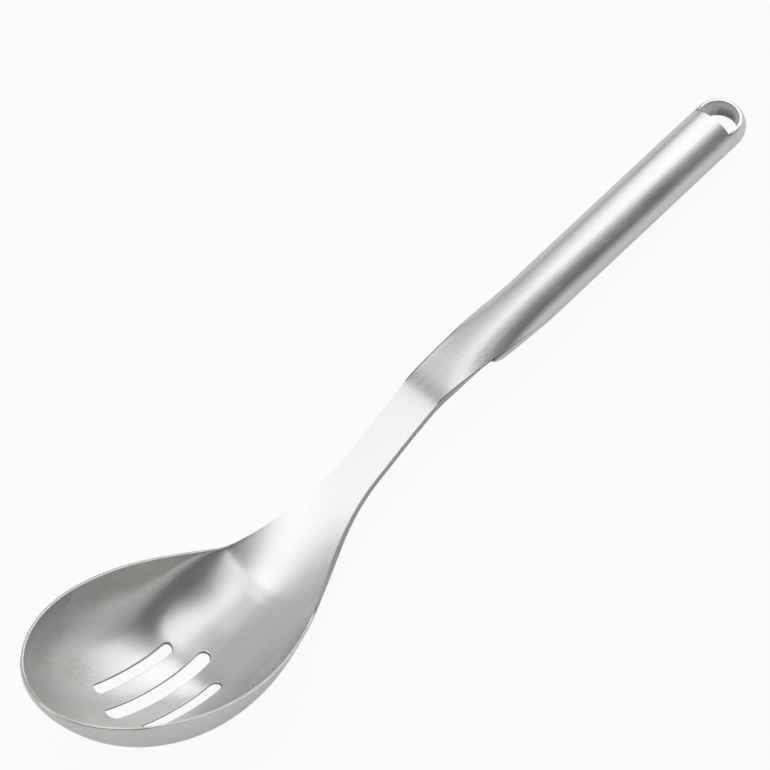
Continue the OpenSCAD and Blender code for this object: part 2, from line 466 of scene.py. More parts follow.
# %% From a place on the face back to the grid
def grid_place(x, y):
    share = y / half_width(x)
    dx = np.clip(1 - x / deep_x, 0, 1)
    dy = share * np.sqrt(1 - dx * dx)
    root = 2 * math.sqrt(2)
    def square_side(a, b):
        spread = 2 + a * a - b * b
        return (np.sqrt(spread + root * a) - np.sqrt(np.maximum(0, spread - root * a))) / 2
    p = square_side(dx, dy)
    q = square_side(dy, dx)
    front_row = front_rows * (1 - np.arcsin(np.clip(p, 0, 1)) / (np.pi / 2))
    rear_row = front_rows + np.interp(x, stations, np.arange(len(stations)))
    row = np.where(x < deep_x, front_row, rear_row)
    return row, columns / 2 * (1 + np.arcsin(q) / (np.pi / 2))


bottom_row, bottom_column = grid_place(np.array([deep_x]), np.array([0.0]))
print("bottom of the bowl: row", round(float(bottom_row[0]), 1),
      "and column", round(float(bottom_column[0]), 1))

# %% [markdown]
# ## Filling the sheet round the slots
# Away from the slots the grid's squares stay. Round them, a block of the grid is filled again
# with triangles that end on the outlines. Blender's Delaunay function does it in the plane of
# rows and columns. Grid points closer to an outline than `clearance`, in cells of the grid, are
# left out, because they would make needle-thin triangles.

# %% The block of the grid that holds the slots
slots = [
    (middle_slot, middle_width, 0.0),
    (outer_slot, outer_width, slot_pitch),
    (outer_slot, outer_width, -slot_pitch)]
edge_round = 0.28
clearance = 0.42
block_front_rows = 20
block_end_x = 103.0
block_half_columns = 19
block_row_a = front_rows - block_front_rows
block_row_b = front_rows + int(np.searchsorted(stations, block_end_x))
block_col_a = columns // 2 - block_half_columns
block_col_b = columns // 2 + block_half_columns
print("block of rows", block_row_a, "to", block_row_b,
      "and columns", block_col_a, "to", block_col_b)

# %% Is a point inside an outline?
def inside(loop, points):
    ax, ay = loop[:, 0], loop[:, 1]
    bx, by = np.roll(ax, -1), np.roll(ay, -1)
    px, py = points[:, 0:1], points[:, 1:2]
    crosses = (ay > py) != (by > py)
    rise = np.where(by == ay, 1e-9, by - ay)
    left = px < (bx - ax) * (py - ay) / rise + ax
    return np.count_nonzero(crosses & left, axis=1) % 2 == 1


# %% Fill the block between its border and the outlines
def fill_block(loops):
    r, c = np.meshgrid(
        np.arange(block_row_a, block_row_b + 1), np.arange(block_col_a, block_col_b + 1),
        indexing="ij")
    cells = np.stack([r.ravel(), c.ravel()], axis=1).astype(float)
    on_edge = (cells[:, 0] == block_row_a) | (cells[:, 0] == block_row_b)
    on_edge |= (cells[:, 1] == block_col_a) | (cells[:, 1] == block_col_b)
    keep = np.ones(len(cells), dtype=bool)
    for loop in loops:
        gap = np.min(np.linalg.norm(cells[:, None, :] - loop[None, :, :], axis=2), axis=1)
        keep &= ~inside(loop, cells) & (gap > clearance)
    keep |= on_edge
    kept = cells[keep]
    corners = [Vector(p) for p in np.concatenate([kept] + loops)]
    edges = []
    start = len(kept)
    for loop in loops:
        n = len(loop)
        edges += [(start + k, start + (k + 1) % n) for k in range(n)]
        start += n
    out, _e, faces, origin, _oe, _of = delaunay_2d_cdt(corners, edges, [], 0, 1e-6)
    spots = np.array([list(p) for p in out])
    faces = np.array([list(f) for f in faces])
    centres = spots[faces].mean(axis=1)
    hole = np.zeros(len(faces), dtype=bool)
    for loop in loops:
        hole |= inside(loop, centres)
    source = np.array([o[0] for o in origin])
    return kept.astype(int), source[faces[~hole]]


# %% [markdown]
# ## One face of the pressing
# A face is a list of points with their normals: the grid's own, then those of the slots'
# outlines. Polished steel shows each change of a normal, and the filled block has triangles of
# many sizes. So the normals come from the rule of the surface and not from the triangles.

# %% Points, normals and cells of one face
def make_face(grid, normals, loop_cells, loop_points, loop_normals, turned_over):
    kept, triangles = fill_block(loop_cells)
    points = np.concatenate([grid.reshape(-1, 3)] + loop_points)
    directions = np.concatenate([normals.reshape(-1, 3)] + loop_normals)
    grid_count = rows * (columns + 1)
    kept_index = kept[:, 0] * (columns + 1) + kept[:, 1]
    loop_index = np.arange(grid_count, len(points))
    lookup = np.concatenate([kept_index, loop_index])
    cells = [tuple(t) for t in lookup[triangles]]
    for i in range(rows - 1):
        for j in range(columns):
            in_rows = block_row_a <= i < block_row_b
            in_block = in_rows and block_col_a <= j < block_col_b
            if not in_block:
                a = i * (columns + 1) + j
                cells.append((a, a + columns + 1, a + columns + 2, a + 1))
    if turned_over:
        cells = [cell[::-1] for cell in cells]
        directions = -directions
    loops = []
    start = grid_count
    for loop in loop_points:
        loops.append(np.arange(start, start + len(loop)))
        start += len(loop)
    return points, directions, cells, loops


# %% [markdown]
# Each slot has four rings of points: where its rounding begins on the upper and on the lower
# face, and the two sharp corners that the rounding takes off. The first two become holes of the
# grid, and the corners are only used to bend the rounding.

# %% Slot outlines on both faces, with their cut corners
slot_rings = []
for length, width, centre in slots:
    inner_s, inner_y = slot_outline(length, width, centre, 0.0)
    outer_s, outer_y = slot_outline(length, width, centre, edge_round)
    ring = {}
    ring["top_corner"] = carried(inner_s, inner_y, 0.0)[2]
    ring["bottom_corner"] = carried(inner_s, inner_y, 1.0)[2]
    for side, share in (("top", 0.0), ("bottom", 1.0)):
        a, b, point, normal = carried(outer_s, outer_y, share)
        ring[side] = point
        ring[side + "_normal"] = normal
        ring[side + "_cell"] = np.stack(grid_place(a, b), axis=1)
    slot_rings.append(ring)
    print("slot outline of", len(ring["top"]), "points at y =", centre)

# %% [markdown]
# ## Eased edges
# No sheet edge on a spoon is left sharp: it is tumbled or ground until it no longer cuts. The
# rim and the slots get a small rounding on both corners, which catches the light as a fine
# bright line. A Bevel modifier would need the custom normals made anew, so the rounding is part
# of the mesh. Along the handle the edge is welded shut, so the rounding fades away there.

# %% The rim: pull the grid's edge in by the rounding
smallest_round = 0.02
round_fade_run = 12.0


def around(a, b):
    side_one = [(i, 0) for i in range(a - 1)]
    end_one = [(a - 1, j) for j in range(b - 1)]
    side_two = [(i, b - 1) for i in range(a - 1, 0, -1)]
    end_two = [(0, j) for j in range(b - 1, 0, -1)]
    return np.array(side_one + end_one + side_two + end_two)


rim_cells = around(rows, columns + 1)
rim_i, rim_j = rim_cells[:, 0], rim_cells[:, 1]
rim_top_corner = upper_grid[rim_i, rim_j]
rim_bottom_corner = lower_grid[rim_i, rim_j]
rim_normal = grid_normal[rim_i, rim_j]
rim_along = np.roll(rim_top_corner, -1, axis=0) - np.roll(rim_top_corner, 1, axis=0)
rim_outward = unit(np.cross(unit(rim_along), rim_normal))
rim_fade = 1 - ramp(between(rim_top_corner[:, 0], nose_x, nose_x + round_fade_run))
rim_round = (smallest_round + (edge_round - smallest_round) * rim_fade)[:, None]
upper_grid[rim_i, rim_j] = rim_top_corner - rim_round * rim_outward
lower_grid[rim_i, rim_j] = rim_bottom_corner - rim_round * rim_outward
print("rim of", len(rim_cells), "points, pulled in by up to", edge_round, "mm")

# %% [markdown]
# The edge itself is a strip of eight rings between the two faces: three bend over the upper
# corner, two are the ends of the flat wall, and three bend over the lower corner.

# %% A rounded strip between the two faces
wall_rings = (3, 4)


def edge_strip(top, top_corner, bottom_corner, bottom, rounding):
    down = unit(bottom_corner - top_corner)
    top_end = top_corner + rounding * down
    bottom_end = bottom_corner - rounding * down
    def bend(a, corner, b):
        return [(1 - t) ** 2 * a + 2 * t * (1 - t) * corner + t * t * b for t in (0.25, 0.5, 0.75)]
    upper_rings = bend(top, top_corner, top_end)
    lower_rings = bend(bottom_end, bottom_corner, bottom)
    return upper_rings + [top_end, bottom_end] + lower_rings


def strip_normals(rings):
    stack = np.array(rings)
    forward = np.roll(stack, -1, axis=1) - np.roll(stack, 1, axis=1)
    downward = np.gradient(stack, axis=0)
    return unit(np.cross(downward, forward))


# %% [markdown]
# ## The pressing
# The bowl, the neck and the upper skin of the handle are one blank, pressed in one stroke, so
# they are one mesh: upper face, lower face, and a rounded strip round the rim and each slot.

# %% Both faces of the pressing
top_face = make_face(
    upper_grid, grid_normal, [r["top_cell"] for r in slot_rings],
    [r["top"] for r in slot_rings], [r["top_normal"] for r in slot_rings], False)
bottom_face = make_face(
    lower_grid, grid_normal, [r["bottom_cell"] for r in slot_rings],
    [r["bottom"] for r in slot_rings], [r["bottom_normal"] for r in slot_rings], True)
points = [top_face[0], bottom_face[0]]
normals = [top_face[1], bottom_face[1]]
bottom_start = len(top_face[0])
cells = list(top_face[2])
cells += [tuple(k + bottom_start for k in cell) for cell in bottom_face[2]]
next_point = bottom_start + len(bottom_face[0])
print("the two faces have", len(cells), "cells")

# %% [markdown]
# The strips carry two shares for the finish. Tumbling polishes the bent corners. The flat wall
# keeps the dull look of the shear that cut it, and its colour is darkened there as painted shade,
# which draws a dark line under the bright edge. Both are full in the slots and less on the rim,
# where only the thick neck shows them: on thin sheet the belt reaches over the upper edge.

# %% Strips round the rim and the slots
polished = [np.zeros(len(top_face[0])), np.zeros(len(bottom_face[0]))]
sheared_and_shaded = [np.zeros(len(top_face[0])), np.zeros(len(bottom_face[0]))]


def add_strip(top_index, bottom_index, rings, upper_wall, lower_wall):
    global next_point
    n = len(top_index)
    wall_shares = dict(zip(wall_rings, (upper_wall, lower_wall)))
    for k in range(len(rings)):
        polished.append(np.full(n, 0.0 if k in wall_shares else 1.0))
        sheared_and_shaded.append(wall_shares.get(k, 0.0) * np.ones(n))
    levels = [np.asarray(top_index)]
    for _ring in rings:
        levels.append(np.arange(next_point, next_point + n))
        next_point += n
    levels.append(np.asarray(bottom_index))
    points.extend(rings)
    all_points = np.concatenate(points)
    normals.extend(strip_normals([all_points[level] for level in levels])[1:-1])
    for upper_level, lower_level in zip(levels, levels[1:]):
        for k in range(n):
            m = (k + 1) % n
            cells.append((upper_level[m], upper_level[k], lower_level[k], lower_level[m]))


# This share dulls the rim's wall and darkens it as painted shade, only before the nose.
rim_dull_and_shade = 0.65
before_nose = 1 - ramp(between(rim_top_corner[:, 0], bend_x, nose_x))
lower_wall = rim_dull_and_shade * before_nose
upper_wall = lower_wall * ramp(between(rim_top_corner[:, 0], thicken_x, thick_x))
rim_index = rim_i * (columns + 1) + rim_j
rim_rings = edge_strip(
    upper_grid[rim_i, rim_j], rim_top_corner, rim_bottom_corner,
    lower_grid[rim_i, rim_j], rim_round)
add_strip(rim_index, rim_index + bottom_start, rim_rings, upper_wall, lower_wall)
for k, ring in enumerate(slot_rings):
    rings = edge_strip(
        ring["top"], ring["top_corner"], ring["bottom_corner"], ring["bottom"], edge_round)
    add_strip(top_face[3][k], bottom_face[3][k] + bottom_start, rings, 1.0, 1.0)
print("with the strips:", len(cells), "cells")

# %% A mesh from points, cells and normals
def mesh_object(name, points, cells, normals):
    data = bpy.data.meshes.new(name)
    data.from_pydata([tuple(p) for p in points], [], [tuple(int(k) for k in c) for c in cells])
    data.validate()
    data.shade_smooth()
    data.normals_split_custom_set_from_vertices([tuple(n) for n in normals])
    piece = bpy.data.objects.new(name, data)
    bpy.context.scene.collection.objects.link(piece)
    triangles = sum(len(p.vertices) - 2 for p in data.polygons)
    print(name, "has", triangles, "triangles")
    return piece


# %% The pressing, without the points that the slots have freed
all_points = np.concatenate(points)
all_normals = np.concatenate(normals)
used = np.unique(np.concatenate([np.array(cell) for cell in cells]))
renumber = np.full(len(all_points), -1)
renumber[used] = np.arange(len(used))
cells = [tuple(renumber[list(cell)]) for cell in cells]
pressing = mesh_object(
    "pressing", at_rest(all_points[used]), cells, turned(all_normals[used]))
for label, shares in (("polished", polished), ("sheared_and_shaded", sheared_and_shaded)):
    attribute = pressing.data.attributes.new(label, "FLOAT", "POINT")
    attribute.data.foreach_set("value", np.concatenate(shares)[used])
    print(label, "on", int(np.count_nonzero(np.concatenate(shares)[used])), "points")
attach(pressing, "root")
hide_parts("spoon_pressing")

# %% [markdown]
# ## The steel
# A spoon like this is ground on belts of finer and finer grit that run along it. The marks that
# stay are long in x and less than a millimetre wide. A picture of brushed metal could give them,
# but it would stretch on the bowl. Noise that is stretched along x stays even everywhere. Two
# sets of it, the second one slightly askew, look like the strokes of two belts. The groups read
# the object's own coordinates in metres, so that the marks run on from piece to piece.

# %% Helpers for shader nodes
def put(tree, kind, values=None, **settings):
    made = tree.nodes.new(kind)
    for key, value in settings.items():
        setattr(made, key, value)
    for key, value in (values or {}).items():
        if isinstance(value, bpy.types.NodeSocket):
            tree.links.new(value, made.inputs[key])
        else:
            made.inputs[key].default_value = value
    return made


def math_of(tree, operation, *values):
    return put(tree, "ShaderNodeMath", dict(enumerate(values)), operation=operation).outputs[0]


def value_group(name, inputs, output):
    group = bpy.data.node_groups.new(name, "ShaderNodeTree")
    for label, value in inputs:
        socket = group.interface.new_socket(label, in_out="INPUT", socket_type="NodeSocketFloat")
        socket.default_value = value
    group.interface.new_socket(output, in_out="OUTPUT", socket_type="NodeSocketFloat")
    given = group.nodes.new("NodeGroupInput").outputs
    result = group.nodes.new("NodeGroupOutput").inputs[output]
    return group, given, result


# %% The belt's marks
depth_count = 0.35
first_share = 0.6
second_share = 0.4
second_askew = math.radians(14)


def stroke_noise(tree, given, askew, detail):
    at = put(tree, "ShaderNodeTexCoord").outputs["Object"]
    turned_at = put(
        tree, "ShaderNodeMapping", {"Vector": at, "Rotation": (0, 0, askew)}).outputs[0]
    counts = put(tree, "ShaderNodeCombineXYZ", {
        "X": given["Along"], "Y": given["Across"],
        "Z": math_of(tree, "MULTIPLY", given["Across"], depth_count)}).outputs[0]
    stretched = put(tree, "ShaderNodeVectorMath", {0: turned_at, 1: counts}, operation="MULTIPLY")
    noise = put(tree, "ShaderNodeTexNoise", {
        "Vector": stretched.outputs[0], "Scale": 1.0, "Detail": detail, "Roughness": 0.65})
    return put(tree, "ShaderNodeMapRange", {
        "Value": noise.outputs[0], "From Min": 0.3, "From Max": 0.7}).outputs[0]


belt_marks, given, result = value_group(
    "Belt marks", [("Along", 42.0), ("Across", 1100.0)], "Marks")
first_belt = stroke_noise(belt_marks, given, 0.0, 3.0)
second_belt = stroke_noise(belt_marks, given, second_askew, 2.0)
belt_marks.links.new(
    math_of(belt_marks, "ADD", math_of(belt_marks, "MULTIPLY", first_belt, first_share),
            math_of(belt_marks, "MULTIPLY", second_belt, second_share)), result)
print("nodes in the belt's marks:", len(belt_marks.nodes))

# %% [markdown]
# Hands and cloths leave soft clouds on the metal, a few centimetres wide. Plain noise with
# little detail gives them. They change the gloss as much as the marks do, and the tone less.

# %% Clouds from handling
handling, given, result = value_group("Handling", [("Spots per metre", 45.0)], "Cloud")
at = put(handling, "ShaderNodeTexCoord").outputs["Object"]
cloud = put(handling, "ShaderNodeTexNoise", {
    "Vector": at, "Scale": given["Spots per metre"], "Detail": 2.0, "Roughness": 0.5})
handling.links.new(put(handling, "ShaderNodeMapRange", {
    "Value": cloud.outputs[0], "From Min": 0.3, "From Max": 0.7}).outputs[0], result)
print("nodes in the handling:", len(handling.nodes))

# %% [markdown]
# Steel is a metal, so its colour is that of its reflections, and its roughness decides how far
# they blur. Tumbling polishes the eased corners, so they are smoother than the faces. The walls
# that the press has sheared stay dull, and their colour is darkened as painted shade. The
# pressing carries both shares as attributes, and a piece without them reads 0 for both. A Mix
# node has sockets for every kind of value under the same names, so its colour sockets go by their
# numbers.

# %% Steel from its tones, its gloss and its marks
gloss_spread = 0.05
corner_polish = 0.08
shear_dulling = 0.15
# The sheared walls' colour as a share of the dull tone: painted shade.
painted_shade_tone = 0.42
mark_share = 0.6
cloud_share = 0.4
first_colour, second_colour, mixed_colour = 6, 7, 2


def steel(name, dull, bright, roughness, mark_depth, along, across):
    material = bpy.data.materials.new(name)
    material.use_nodes = True
    tree = material.node_tree
    shader = tree.nodes["Principled BSDF"]
    shader.inputs["Metallic"].default_value = 1.0
    marks = put(tree, "ShaderNodeGroup", {}, node_tree=belt_marks)
    marks.inputs["Along"].default_value = along
    marks.inputs["Across"].default_value = across
    clouds = put(tree, "ShaderNodeGroup", {}, node_tree=handling)
    polished = put(tree, "ShaderNodeAttribute", attribute_name="polished").outputs["Fac"]
    sheared_and_shaded = put(tree, "ShaderNodeAttribute", attribute_name="sheared_and_shaded").outputs["Fac"]
    tone = math_of(tree, "ADD", math_of(tree, "MULTIPLY", marks.outputs[0], mark_share),
                   math_of(tree, "MULTIPLY", clouds.outputs[0], cloud_share))
    face = put(tree, "ShaderNodeMix", {"Factor": tone}, data_type="RGBA")
    face.inputs[first_colour].default_value = dull
    face.inputs[second_colour].default_value = bright
    # Painted shade: this mix darkens the sheared walls to a share of the dull tone.
    wall = put(tree, "ShaderNodeMix", {"Factor": sheared_and_shaded}, data_type="RGBA")
    tree.links.new(face.outputs[mixed_colour], wall.inputs[first_colour])
    wall.inputs[second_colour].default_value = tuple(painted_shade_tone * v for v in dull[:3]) + (1,)
    tree.links.new(wall.outputs[mixed_colour], shader.inputs["Base Color"])
    gloss = math_of(tree, "ADD", math_of(tree, "MULTIPLY", marks.outputs[0], gloss_spread),
                    math_of(tree, "MULTIPLY", clouds.outputs[0], gloss_spread))
    gloss = math_of(tree, "ADD", gloss, roughness - gloss_spread)
    gloss = math_of(tree, "SUBTRACT", gloss, math_of(tree, "MULTIPLY", polished, corner_polish))
    gloss = math_of(tree, "ADD", gloss, math_of(tree, "MULTIPLY", sheared_and_shaded, shear_dulling))
    tree.links.new(gloss, shader.inputs["Roughness"])
    bump = put(tree, "ShaderNodeBump", {
        "Strength": 1.0, "Distance": mark_depth, "Height": marks.outputs[0]})
    tree.links.new(bump.outputs[0], shader.inputs["Normal"])
    print(name, "has", len(tree.nodes), "nodes")
    return material


brushed_steel = steel(
    "brushed steel", (0.67, 0.662, 0.65, 1), (0.81, 0.802, 0.79, 1), 0.30, 2e-6, 42.0, 1100.0)
# The plate's steel is darker than the brushed steel: painted shade for its place in the hollow
# handle.
shaded_inner_steel = steel(
    "shaded inner steel", (0.40, 0.395, 0.385, 1), (0.50, 0.495, 0.485, 1), 0.40, 4e-6, 900.0, 900.0)
pressing.data.materials.append(brushed_steel)

# %% [markdown]
# ## Node trees by name
# Geometry Nodes suit the next two pieces, because each follows a path: the back of the handle
# hangs from the seam, and the loop is one section carried round a bend. `Tree` places a node,
# sets its values and joins its sockets, so that each tree reads as a list of steps. `grown` puts
# a tree on a path and keeps the mesh that comes out, without the modifier.

# %% A tree of Geometry Nodes, written step by step
class Tree:
    def __init__(self, name, inputs):
        self.tree = bpy.data.node_groups.new(name, "GeometryNodeTree")
        face = self.tree.interface
        face.new_socket("Geometry", in_out="INPUT", socket_type="NodeSocketGeometry")
        for label, kind, value in inputs:
            socket = face.new_socket(label, in_out="INPUT", socket_type=kind)
            if value is not None:
                socket.default_value = value
        face.new_socket("Geometry", in_out="OUTPUT", socket_type="NodeSocketGeometry")
        self.given = self.tree.nodes.new("NodeGroupInput").outputs
        self.result = self.tree.nodes.new("NodeGroupOutput").inputs["Geometry"]

    def feed(self, socket, value):
        if isinstance(value, bpy.types.NodeSocket):
            self.tree.links.new(value, socket)
        else:
            socket.default_value = value

    def add(self, kind, *values, settings=None, **named):
        node = self.tree.nodes.new(kind)
        for key, value in (settings or {}).items():
            setattr(node, key, value)
        usable = [s for s in node.inputs if s.enabled]
        for socket, value in zip(usable, values):
            self.feed(socket, value)
        for key, value in named.items():
            self.feed(node.inputs[key.replace("_", " ")], value)
        return [s for s in node.outputs if s.enabled]

    def math(self, operation, *values):
        return self.add("ShaderNodeMath", *values, settings={"operation": operation})[0]


# %% A finished piece from a tree and a path
def grown(tree, name, path_points, path_edges, material):
    data = bpy.data.meshes.new(name + " path")
    data.from_pydata([tuple(p) for p in path_points], path_edges, [])
    piece = bpy.data.objects.new(name, data)
    bpy.context.scene.collection.objects.link(piece)
    modifier = piece.modifiers.new(name, "NODES")
    modifier.node_group = tree.tree
    for item in tree.tree.interface.items_tree:
        if item.in_out == "INPUT" and item.name == "Metal":
            modifier[item.identifier] = material
    depsgraph = bpy.context.evaluated_depsgraph_get()
    mesh = bpy.data.meshes.new_from_object(piece.evaluated_get(depsgraph), depsgraph=depsgraph)
    piece.modifiers.clear()
    piece.data = mesh
    mesh.name = name
    mesh.shade_smooth()
    print(name, "has", len(mesh.polygons), "faces")
    return piece


# %% [markdown]
# ## The back of the handle
# The lower skin of the handle is a half oval shell, welded to the pressing along both edges.
# Its front end rises in a short rounded nose. A bent cylinder could stand in for it, but it
# would leave a gap along both edges. So the path of the tree is the seam itself, and half an
# oval hangs from each point of it. The nose ends on a straight line from edge to edge, and the
# strip is arched there already, so a slit up to 1.5 mm high stays open under its middle. On a
# real spoon the skin is shaped to meet the strip.

# %% The seam
seam_points = 160


def seam_point(x):
    z = top_z(x) - edge_drop(x, 1.0) - thickness(x) * np.cos(roll(x))
    return np.stack([x, half_width(x), z], axis=-1)


seam = seam_point(np.linspace(nose_x, shell_end_x, seam_points))
print("seam from", np.round(seam[0], 1), "to", np.round(seam[-1], 1))

# %% [markdown]
# The tree bends a flat grid. Its rows go along the seam and crowd towards the nose, where the
# shape turns fastest, and its columns go round the half oval. In the nose a quarter circle
# lowers the shell from the level of the seam to the full depth.

# %% The shell that hangs from the seam
row_crowding = 2.4
shell = Tree("handle shell", [
    ("Half depth", "NodeSocketFloat", handle_top),
    ("Nose start", "NodeSocketFloat", nose_x),
    ("Nose run", "NodeSocketFloat", nose_run),
    ("Rows", "NodeSocketInt", 90),
    ("Columns", "NodeSocketInt", 49),
    ("Pitch", "NodeSocketVector", (0.0, rest_pitch, 0.0)),
    ("Place", "NodeSocketVector", tuple(at_rest([0.0, 0.0, 0.0]))),
    ("Metal", "NodeSocketMaterial", None)])
seam_curve = shell.add("GeometryNodeMeshToCurve", shell.given["Geometry"])[0]
grid = shell.add(
    "GeometryNodeMeshGrid", 1.0, 1.0, shell.given["Rows"], shell.given["Columns"])[0]
grid_at = shell.add("ShaderNodeSeparateXYZ", shell.add("GeometryNodeInputPosition")[0])
share_along = shell.math("POWER", shell.math("ADD", grid_at[0], 0.5), row_crowding)
angle = shell.math("MULTIPLY", shell.math("ADD", grid_at[1], 0.5), math.pi)
on_seam = shell.add(
    "GeometryNodeSampleCurve", settings={"mode": "FACTOR"}, Curves=seam_curve, Factor=share_along)
seam_at = shell.add(
    "ShaderNodeSeparateXYZ", next(s for s in on_seam if s.name == "Position"))
from_nose = shell.math("SUBTRACT", seam_at[0], shell.given["Nose start"])
past_nose = shell.math("DIVIDE", from_nose, shell.given["Nose run"])
short_of_end = shell.math("SUBTRACT", 1.0, shell.math("MINIMUM", past_nose, 1.0))
quarter_circle = shell.math("SUBTRACT", 1.0, shell.math("POWER", short_of_end, 2.0))
nose_share = shell.math("SQRT", quarter_circle)
fall = shell.math("MULTIPLY", shell.math("ADD", seam_at[2], shell.given["Half depth"]), nose_share)
shell_y = shell.math("MULTIPLY", seam_at[1], shell.math("COSINE", angle))
below_seam = shell.math("MULTIPLY", fall, shell.math("SINE", angle))
shell_z = shell.math("SUBTRACT", seam_at[2], below_seam)
shell_at = shell.add("ShaderNodeCombineXYZ", seam_at[0], shell_y, shell_z)[0]
placed = shell.add("GeometryNodeSetPosition", Geometry=grid, Position=shell_at)[0]
placed = shell.add(
    "GeometryNodeTransform", Geometry=placed, Translation=shell.given["Place"],
    Rotation=shell.given["Pitch"], Scale=(0.001, 0.001, 0.001))[0]
placed = shell.add("GeometryNodeRealizeInstances", placed)[0]
placed = shell.add("GeometryNodeSetMaterial", Geometry=placed, Material=shell.given["Metal"])[0]
shell.feed(shell.result, placed)
print("nodes in the shell's tree:", len(shell.tree.nodes))

# %% The handle's lower skin
handle_skin = grown(
    shell, "handle_skin", seam, [(k, k + 1) for k in range(len(seam) - 1)], brushed_steel)
wall = handle_skin.modifiers.new("wall", "SOLIDIFY")
wall.thickness = sheet / 1000
wall.offset = -1
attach(handle_skin, "root")
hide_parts("handle_back")

# %% [markdown]
# ## The hanging loop
# A narrow band is bent round the end of the handle and makes the hanging hole. Its section is a
# thin upright strip with eased corners and a slight bulge, so that it carries on the oval of the
# handle. A tube with a squashed profile would look soft, so the tree builds the true section and
# sweeps it along the path of the bend.

# %% The band's path
gap = 0.02
turn_points = 49
turn_angles = np.linspace(-np.pi / 2, np.pi / 2, turn_points)
bend = np.stack([
    loop_centre_x + handle_half * np.cos(turn_angles), handle_half * np.sin(turn_angles),
    np.zeros(len(turn_angles))], axis=-1)
near_leg = [[shell_end_x + gap, -handle_half, 0.0]]
far_leg = [[shell_end_x + gap, handle_half, 0.0]]
band_path = np.concatenate([near_leg, bend, far_leg])
print("path of", len(band_path), "points,", gap, "mm clear of the handle's end")

# %% The band's section, swept along the path
corner_points = 4
flat_cuts = 5
band = Tree("band", [
    ("Thickness", "NodeSocketFloat", sheet),
    ("Height", "NodeSocketFloat", loop_height),
    ("Half width", "NodeSocketFloat", handle_half),
    ("Half depth", "NodeSocketFloat", handle_top),
    ("Corner", "NodeSocketFloat", 0.25),
    ("Pitch", "NodeSocketVector", (0.0, rest_pitch, 0.0)),
    ("Place", "NodeSocketVector", tuple(at_rest([0.0, 0.0, 0.0]))),
    ("Metal", "NodeSocketMaterial", None)])
path = band.add("GeometryNodeMeshToCurve", band.given["Geometry"])[0]
section = band.add(
    "GeometryNodeCurvePrimitiveQuadrilateral", band.given["Thickness"], band.given["Height"])[0]
section = band.add(
    "GeometryNodeFilletCurve", settings={"mode": "POLY"}, Curve=section,
    Count=corner_points, Radius=band.given["Corner"])[0]
section = band.add("GeometryNodeSubdivideCurve", section, flat_cuts)[0]
section_at = band.add("ShaderNodeSeparateXYZ", band.add("GeometryNodeInputPosition")[0])
height_share = band.math("DIVIDE", section_at[1], band.given["Half depth"])
oval = band.math("SQRT", band.math("SUBTRACT", 1.0, band.math("POWER", height_share, 2.0)))
bulge = band.math("MULTIPLY", band.given["Half width"], band.math("SUBTRACT", oval, 1.0))
half_sheet = band.math("MULTIPLY", band.given["Thickness"], 0.5)
outward = band.math("SUBTRACT", band.math("ADD", section_at[0], bulge), half_sheet)
section_to = band.add("ShaderNodeCombineXYZ", outward, section_at[1], 0.0)[0]
section = band.add("GeometryNodeSetPosition", Geometry=section, Position=section_to)[0]
swept = band.add(
    "GeometryNodeCurveToMesh", Curve=path, Profile_Curve=section, Fill_Caps=True)[0]
swept = band.add(
    "GeometryNodeTransform", Geometry=swept, Translation=band.given["Place"],
    Rotation=band.given["Pitch"], Scale=(0.001, 0.001, 0.001))[0]
swept = band.add("GeometryNodeRealizeInstances", swept)[0]
swept = band.add("GeometryNodeSetMaterial", Geometry=swept, Material=band.given["Metal"])[0]
band.feed(band.result, swept)
print("nodes in the band's tree:", len(band.tree.nodes))

# %% [markdown]
# The sweep leaves big flat faces beside the small ones of its eased corners. If each vertex took
# the plain average of its faces, the flats would look bent. Weighting by area keeps them flat
# and lets only the corners turn.

# %% Normals weighted by the size of the faces
def settle_normals(piece):
    mesh = piece.data
    sums = np.zeros((len(mesh.vertices), 3))
    for polygon in mesh.polygons:
        for vertex in polygon.vertices:
            sums[vertex] += np.array(polygon.normal) * polygon.area
    mesh.normals_split_custom_set_from_vertices([tuple(n) for n in unit(sums)])


# %% The hanging loop
loop_band = grown(
    band, "loop_band", band_path, [(k, k + 1) for k in range(len(band_path) - 1)], brushed_steel)
settle_normals(loop_band)
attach(loop_band, "root")
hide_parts("hang_loop")
print("band from", [round(v, 5) for v in np.min([v.co for v in loop_band.data.vertices], axis=0)],
      "to", [round(v, 5) for v in np.max([v.co for v in loop_band.data.vertices], axis=0)])

# %% [markdown]
# ## The plate behind the loop
# An oval plate closes the hollow handle where the band begins. It is flat and sits in the shade,
# so the solid model's own plate is good enough and only gets its finish: a rougher steel with
# short marks in all directions, because no belt reaches in there, and a darker tone, which is
# painted shade.

# %% The plate gets its steel
plug = next(o for o in bpy.data.objects if o.name == "end_plug")
plug.data.materials.clear()
plug.data.materials.append(shaded_inner_steel)
print(plug.name, "wears", plug.data.materials[0].name)

# %% [markdown]
# ## Floor, backdrop and light
# The spoon lies on a plain white table in an evenly lit studio. More light would turn a grey
# table white, but it would burn out the steel too. So the camera sees the table mostly as a
# surface that glows at white, and a small part of the matt paper lets the shadow through. The
# steel mirrors less of that glow, and the light that it gets from the matt part is plain.

